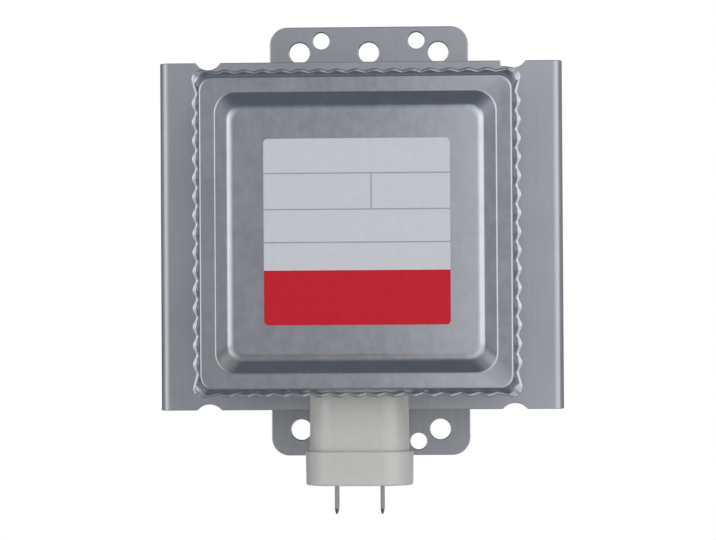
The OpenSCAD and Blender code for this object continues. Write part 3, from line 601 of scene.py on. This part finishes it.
def make_lid():
    """The pressed lid: a raised panel on a platform, and a skirt that flares out into a scalloped hem."""
    low, high = extent("filter_lid")
    lid_half = high.x - HEM_FLARE
    run = 2 * (lid_half - LID_CORNER - HEM_PLAIN)
    inside = lid_surface(LID_SHEET, lid_half, run, low.z, high.z)
    outside = lid_surface(0, lid_half, run, low.z + LIP_HEIGHT, high.z)
    bm = bmesh.new()
    loft(bm, inside[::-1] + hem_lip(high.x, run, low.z) + outside)
    lid = new_object("pressed_lid", bm)
    slits = bmesh.new()
    start = (high.x - HEM_CORNER) * math.sqrt(2) + HEM_CORNER - HEM_SLIT_LENGTH
    stop = start + 4 * HEM_SLIT_LENGTH
    for quarter in range(4):
        turn = Matrix.Rotation(math.pi / 2 * quarter + math.pi / 4, 2)
        outline = [turn @ Vector(corner) for corner in (
            (start, -HEM_SLIT / 2), (stop, -HEM_SLIT / 2), (stop, HEM_SLIT / 2), (start, HEM_SLIT / 2))]
        loft(slits, [[(u, v, w) for u, v in outline] for w in (low.z - LID_SKIRT, low.z + LID_SKIRT)])
    cut(lid, new_object("hem_slits", slits))
    return dress(lid, "tinned_sheet", "filter_lid")


# Connector

def make_case():
    """The moulded connector case: a drafted neck, a stepped head and an open recess."""
    low, high = extent("feedthrough_case")
    head_r = high.x - TERMINAL_X
    head_top = low.y + HEAD_LENGTH
    profile = rounded_profile((
        (NECK_R - CASE_DRAFT, high.y, 0),
        (NECK_R, head_top, NECK_FILLET),
        (head_r, head_top, HEAD_TOP_EDGE),
        (head_r - CASE_DRAFT, low.y, HEAD_END_EDGE),
        (CAVITY_R + CASE_DRAFT, low.y, CAVITY_EDGE),
        (CAVITY_R, high.y, 0)))
    bm = bmesh.new()
    loft(bm, [stadium_ring(radius, v) for radius, v in profile], closed=True)
    return dress(new_object("moulded_case", bm), "case_plastic", "feedthrough_case")


def blade_ring(u, v, half_width, half_thickness):
    """A rectangle with rounded corners across a tab."""
    corner = TAB_CORNER_SHARE * half_thickness
    ring = []
    for quarter in range(4):
        diagonal = math.pi / 2 * quarter + math.pi / 4
        centre_u = math.copysign(half_thickness - corner, math.cos(diagonal))
        centre_w = math.copysign(half_width - corner, math.sin(diagonal))
        for step in range(TAB_CORNER_STEPS + 1):
            angle = math.pi / 2 * (quarter + step / TAB_CORNER_STEPS)
            ring.append((u + centre_u + corner * math.cos(angle), v,
                         FEED_AXIS + centre_w + corner * math.sin(angle)))
    return ring


def make_terminal(side, name):
    """A push-on tab with a pointed, thinned tip and a hole, on a round conductor."""
    low, high = extent(name)
    u = side * TERMINAL_X
    resin = extent("feedthrough_resin")[0].y
    tip = low.y
    thinned = [share * TAB_HALF_THICKNESS for share in TAB_THINNING]
    stations = (
        (resin, TAB_HALF_WIDTH, TAB_HALF_THICKNESS),
        (tip + TAB_POINT, TAB_HALF_WIDTH, TAB_HALF_THICKNESS),
        (tip + TAB_POINT / 2, TAB_HALF_WIDTH - TAB_POINT / 2, thinned[0]),
        (tip + TAB_TIP, TAB_HALF_WIDTH - TAB_POINT, thinned[1]),
        (tip, TAB_HALF_WIDTH - TAB_POINT - TAB_TIP, thinned[2]))
    bm = bmesh.new()
    loft(bm, [blade_ring(u, *station) for station in stations])
    tab = new_object(name.replace("terminal", "tab"), bm)
    hole = bmesh.new()
    loft(hole, [disc_ring(u + reach, tip + TAB_HALF_WIDTH, FEED_AXIS, TAB_HOLE_R, "u", 24)
                for reach in (-TAB_HOLE_REACH, TAB_HOLE_REACH)])
    cut(tab, new_object("tab_hole", hole))
    dress(tab, "tinned_terminal", name)
    bm = bmesh.new()
    loft(bm, [disc_ring(u, v, FEED_AXIS, radius, "v", 24) for v, radius in (
        (resin, CONDUCTOR_R), (high.y - CONDUCTOR_CHAMFER, CONDUCTOR_R),
        (high.y, CONDUCTOR_R - CONDUCTOR_CHAMFER))])
    return dress(new_object(name.replace("terminal", "conductor"), bm), "tinned_terminal", name)


# Label

def make_label():
    """The label: a thin sheet with round corners."""
    low, high = extent("blank_label")
    half = (high.x - low.x) / 2
    middle = ((low.x + high.x) / 2, (low.y + high.y) / 2)
    bm = bmesh.new()
    loft(bm, [square_ring(half - inset, LABEL_CORNER - inset, w, middle) for inset, w in (
        (0, low.z), (0, high.z - LABEL_EDGE), (LABEL_EDGE, high.z))])
    return dress(new_object("label_sheet", bm), "label_film", "blank_label")


# Gasket

def add_wire(bm, section, start, advance):
    """One wire that runs once round the gasket's section while it advances round the ring."""
    count = len(section)
    lift = GASKET_WIRE_R * GASKET_WIRE_LIFT
    middle = sum(section, Vector((0, 0))) / count
    turns = [2 * math.pi * side / GASKET_WIRE_SIDES for side in range(GASKET_WIRE_SIDES)]
    rings = []
    for step in range(count + 1):
        place = section[step % count]
        outward = (place - middle).normalized()
        radius, w = place + outward * lift
        angle = start + advance * step / count
        out = Vector((math.cos(angle), math.sin(angle), 0))
        normal = out * outward.x + Vector((0, 0, outward.y))
        centre = out * radius + Vector((0, 0, w))
        tangential = Vector((-math.sin(angle), math.cos(angle), 0))
        rings.append([tuple(centre + GASKET_WIRE_R * (normal * math.cos(turn) + tangential * math.sin(turn)))
                      for turn in turns])
    loft(bm, rings)


def make_gasket():
    """The knitted gasket: a packed core inside two crossing families of wires."""
    low, high = extent("mesh_gasket")
    shrink = 2 * GASKET_WIRE_R
    inner, outer = GASKET_INNER_R + shrink, high.x - shrink
    bottom, top = low.z + shrink, high.z - shrink
    section = rounded_profile((
        (inner, top, GASKET_EDGE), (outer, top, GASKET_EDGE),
        (outer, bottom, GASKET_EDGE), (inner, bottom, GASKET_EDGE)), GASKET_CORNER_STEPS)
    bm = bmesh.new()
    core = [[(radius * math.cos(angle), radius * math.sin(angle), w) for radius, w in section]
            for angle in (2 * math.pi * step / GASKET_TURNS for step in range(GASKET_TURNS))]
    loft(bm, core, closed=True)
    advance = 2 * math.pi * GASKET_LEAD / GASKET_WIRES
    for hand in (-1, 1):
        for wire in range(GASKET_WIRES):
            add_wire(bm, section, 2 * math.pi * wire / GASKET_WIRES, hand * advance)
    return dress(new_object("knitted_gasket", bm), "gasket_mesh", "mesh_gasket")


# Solids that stay as they are

def finish_solids():
    """Gives every solid its node material, and rounds the cut edges of those that show."""
    edges = dict(EDGE_WIDTHS)
    edges.update({f"cooling_fin_{number}": FIN_EDGE for number in range(1, FIN_COUNT + 1)})
    for name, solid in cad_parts.items():
        for place in solid.material_slots:
            place.material = materials[place.material.name.split(".")[0]]
        if name in edges:
            weld = solid.modifiers.new("weld", "WELD")
            weld.merge_threshold = WELD_DISTANCE
            flat = solid.modifiers.new("flat", "DECIMATE")
            flat.decimate_type = "DISSOLVE"
            flat.angle_limit = FLAT_ANGLE
            bevel = solid.modifiers.new("edge", "BEVEL")
            bevel.width = edges[name] * MM
            bevel.segments = EDGE_SEGMENTS
            bevel.limit_method = "ANGLE"
            bevel.angle_limit = EDGE_ANGLE
            bevel.use_clamp_overlap = False
            bevel.harden_normals = True
            shading = solid.modifiers.new("shading", "WEIGHTED_NORMAL")
            shading.keep_sharp = True


# Stage

def make_camera():
    """The photograph's own view."""
    forward = Vector((-math.sin(CAMERA_YAW) * math.cos(CAMERA_PITCH),
                      math.cos(CAMERA_YAW) * math.cos(CAMERA_PITCH), math.sin(CAMERA_PITCH)))
    level = forward.cross(Vector((0, 0, 1))).normalized()
    upright = level.cross(forward)
    right = level * math.cos(CAMERA_ROLL) + upright * math.sin(CAMERA_ROLL)
    up = right.cross(forward)
    camera = bpy.data.objects.new("camera", bpy.data.cameras.new("camera"))
    camera.data.lens = CAMERA_LENS
    camera.data.sensor_width = CAMERA_SENSOR
    turn = Matrix((right, up, -forward)).transposed()
    camera.matrix_world = Matrix.Translation(Vector(CAMERA_PLACE) * MM) @ turn.to_4x4()
    bpy.context.scene.collection.objects.link(camera)
    bpy.context.scene.camera = camera


def make_floor():
    """A pale floor that shows the shadow near the object and turns white further away."""
    height = cad_box[0].z - FLOOR_DROP * MM
    bm = bmesh.new()
    corners = [bm.verts.new((x * FLOOR_HALF, y * FLOOR_HALF, height))
               for x, y in ((-1, -1), (1, -1), (1, 1), (-1, 1))]
    bm.faces.new(corners)
    floor = new_object("floor", bm)
    material = bpy.data.materials.new("floor")
    material.use_nodes = True
    tree = material.node_tree
    tree.nodes.clear()
    place = add_node(tree, "ShaderNodeTexCoord").outputs["Object"]
    flat = add_node(tree, "ShaderNodeMapping", {"Vector": place, "Scale": (1, 1, 0)}).outputs["Vector"]
    distance = add_node(tree, "ShaderNodeVectorMath", {0: flat}, operation="LENGTH").outputs["Value"]
    far = add_node(tree, "ShaderNodeMapRange", {"Value": distance, "From Min": SHADOW_NEAR,
                                                "From Max": SHADOW_FAR},
                   interpolation_type="SMOOTHSTEP").outputs["Result"]
    seen = add_node(tree, "ShaderNodeLightPath").outputs["Is Camera Ray"]
    diffuse = add_node(tree, "ShaderNodeBsdfDiffuse", {"Color": FLOOR_COLOUR}).outputs["BSDF"]
    white = add_node(tree, "ShaderNodeEmission", {"Color": WHITE, "Strength": 1.0}).outputs["Emission"]
    share = math_node(tree, "MULTIPLY", far, seen)
    mixed = add_node(tree, "ShaderNodeMixShader", {0: share, 1: diffuse, 2: white}).outputs["Shader"]
    add_node(tree, "ShaderNodeOutputMaterial", {"Surface": mixed})
    floor.data.materials.append(material)
    floor.visible_glossy = False


def make_softbox(name, azimuth, elevation, distance, size, power, in_reflections):
    """An area lamp that looks at the object. Azimuth runs from the camera's side to the right."""
    lamp = bpy.data.lights.new(name, "AREA")
    lamp.shape = "RECTANGLE"
    lamp.size, lamp.size_y = size
    lamp.energy = power
    a, e = math.radians(azimuth), math.radians(elevation)
    place = Vector((math.sin(a) * math.cos(e), -math.cos(a) * math.cos(e), math.sin(e))) * distance
    made = bpy.data.objects.new(name, lamp)
    made.location = place
    made.rotation_mode = "QUATERNION"
    made.rotation_quaternion = (-place).to_track_quat("-Z", "Y")
    made.visible_camera = False
    made.visible_glossy = in_reflections
    bpy.context.scene.collection.objects.link(made)


def make_world():
    """A white backdrop, and a dim studio that grows bright towards both sides."""
    world = bpy.data.worlds.new("studio")
    world.use_nodes = True
    bpy.context.scene.world = world
    tree = world.node_tree
    tree.nodes.clear()
    ray = add_node(tree, "ShaderNodeTexCoord").outputs["Generated"]
    axes = add_node(tree, "ShaderNodeSeparateXYZ", {"Vector": ray})
    across, depth, height = (axes.outputs[axis] for axis in "XYZ")

    def fade(value, span, low, high):
        return add_node(tree, "ShaderNodeMapRange", {"Value": value, "From Min": span[0], "From Max": span[1],
                                                     "To Min": low, "To Max": high},
                        interpolation_type="SMOOTHSTEP").outputs["Result"]

    def magnitude(value):
        return math_node(tree, "ABSOLUTE", value, 0)

    dark = fade(across, DARK_ACROSS, *DARK_LEVELS)
    front = fade(depth, DARK_DEPTH, ROOM_LEVEL, dark)
    back = fade(depth, BACK_DEPTH, 0.0, BACK_LEVEL)
    sky = math_node(tree, "MULTIPLY", fade(height, SKY_HEIGHT, 0.0, SKY_LEVEL),
                    fade(depth, SKY_DEPTH, 0.0, 1.0))
    room = math_node(tree, "ADD", math_node(tree, "ADD", front, back), sky)
    glow = fade(magnitude(across), GLOW_ACROSS, 0.0, GLOW_LEVEL)
    ahead = math_node(tree, "MULTIPLY", fade(depth, GLOW_DEPTH, 1.0, 0.0),
                      fade(magnitude(height), GLOW_HEIGHT, 1.0, 0.0))
    strength = math_node(tree, "MULTIPLY_ADD", glow, ahead, room)
    tint = ramp(tree, math_node(tree, "MULTIPLY_ADD", height, 0.5, 0.5), ROOM_TINTS)
    studio = add_node(tree, "ShaderNodeBackground",
                      {"Color": tint, "Strength": strength}).outputs["Background"]
    white = add_node(tree, "ShaderNodeBackground", {"Color": WHITE, "Strength": 1.0}).outputs["Background"]
    seen = add_node(tree, "ShaderNodeLightPath").outputs["Is Camera Ray"]
    mixed = add_node(tree, "ShaderNodeMixShader", {0: seen, 1: studio, 2: white}).outputs["Shader"]
    add_node(tree, "ShaderNodeOutputWorld", {"Surface": mixed})


make_camera()
make_lid()
make_case()
make_terminal(-1, "terminal_left")
make_terminal(1, "terminal_right")
make_label()
make_gasket()
finish_solids()
make_floor()
for lamp in LAMPS:
    make_softbox(*lamp)
make_world()
bpy.context.scene.view_settings.view_transform = "Standard"
